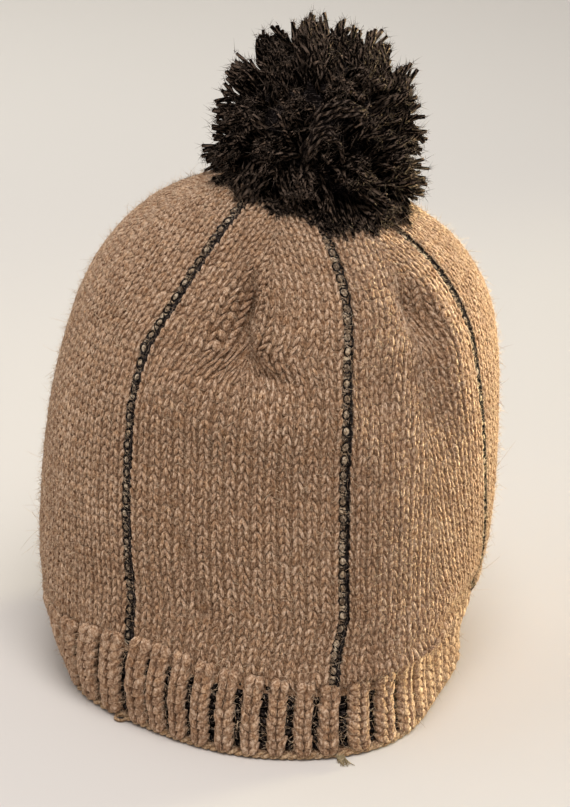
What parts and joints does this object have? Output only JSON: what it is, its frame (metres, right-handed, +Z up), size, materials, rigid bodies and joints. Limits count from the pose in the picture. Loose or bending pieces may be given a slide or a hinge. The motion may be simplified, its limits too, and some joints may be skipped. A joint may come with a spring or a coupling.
{
  "type": "knitted stocking cap with pompom",
  "caption": "Soft knitted stocking cap with vertical contrast stripes, a corrugated rib band and a cut-yarn pompom, open underneath for a head.",
  "frame": {"origin": "on the floor under the middle of the cap's outline", "axes": "+Z up from the rim to the pompom; -Y is the front, the side that the picture shows; +X is to the right in that view"},
  "size_m": [0.176, 0.1824, 0.2586],
  "materials": {
    "tan_wool": "heathered tan wool, matt and hairy, knitted in stocking stitch",
    "dark_wool": "near-black wool, matt, the contrast yarn of stripes and channels",
    "brown_wool": "dark brown wool, matt cut strands"
  },
  "bodies": {
    "root": {"crown": "tan_wool", "stripe_1": "dark_wool", "stripe_2": "dark_wool", "stripe_3": "dark_wool", "stripe_4": "dark_wool", "stripe_5": "dark_wool", "stripe_6": "dark_wool", "rib_band": "tan_wool", "rib_channels": "dark_wool", "cast_on_edge": "tan_wool", "pompom": "brown_wool"}
  },
  "joints": []
}
